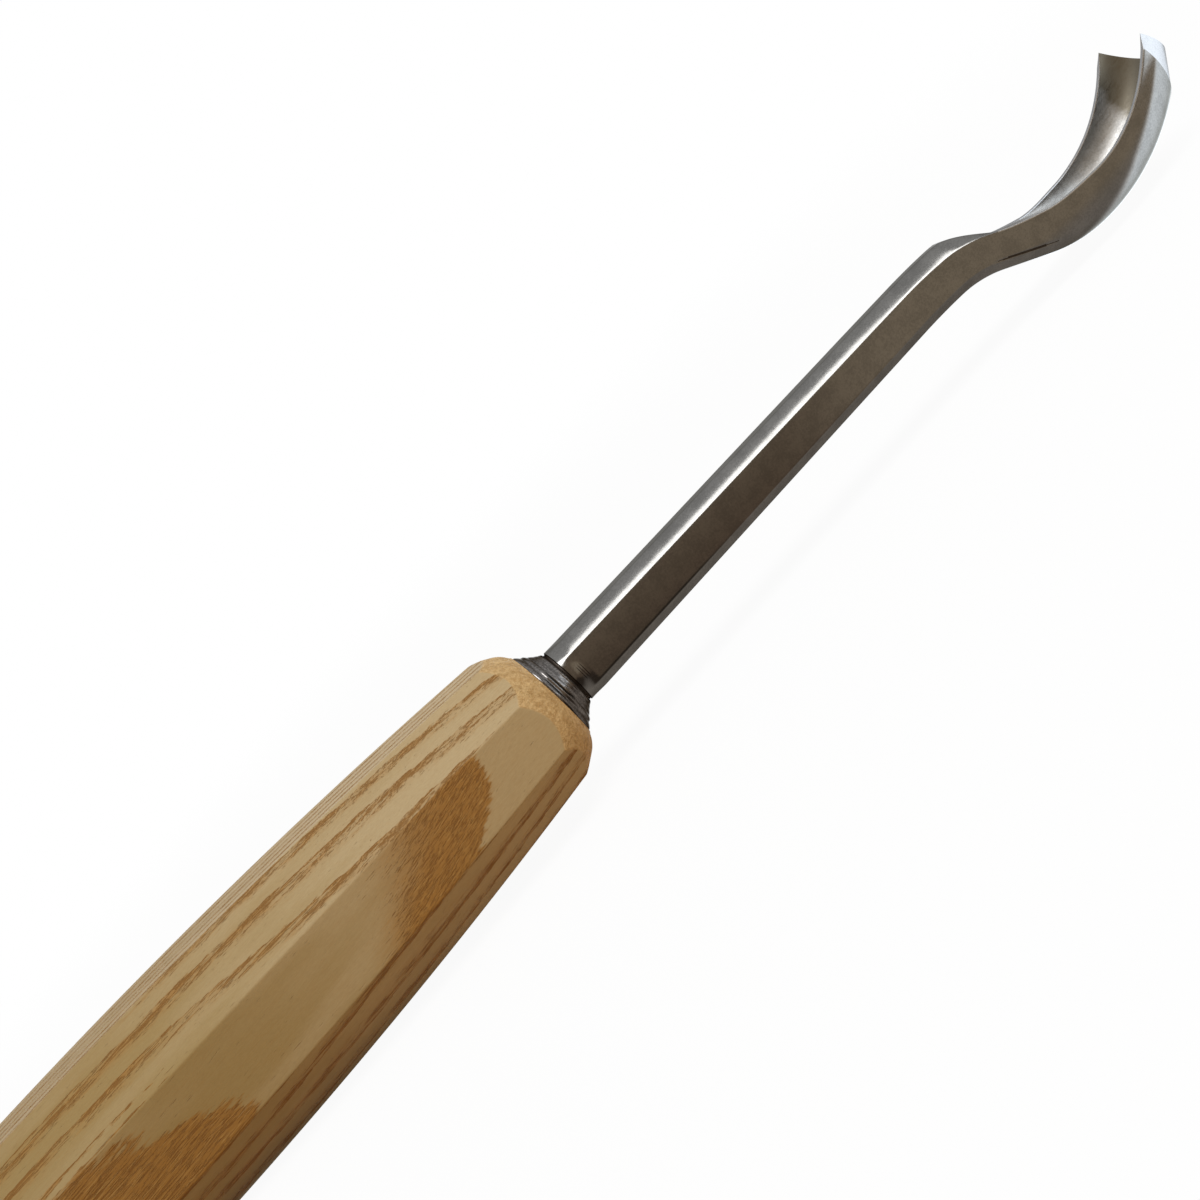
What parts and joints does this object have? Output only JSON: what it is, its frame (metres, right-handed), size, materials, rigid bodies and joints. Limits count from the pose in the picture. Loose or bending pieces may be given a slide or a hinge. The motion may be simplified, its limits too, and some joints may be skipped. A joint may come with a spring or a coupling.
{
  "type": "short bent gouge",
  "caption": "Wood carver's short bent gouge: a forged steel spoon blade with a deep U channel on a cranked shank, in an octagonal ash handle.",
  "frame": {"origin": "centre of the handle's flat butt face", "axes": "+X along the tool from the butt to the cutting edge, +Z towards the open side of the channel, +Y to the left"},
  "size_m": [0.2538, 0.0268, 0.0268],
  "materials": {
    "steel": "polished",
    "ash": "planed, with open grain",
    "ring_steel": "plain"
  },
  "bodies": {
    "root": {"blade": "steel", "handle": "ash", "inner_ferrule": "ring_steel"}
  },
  "joints": []
}
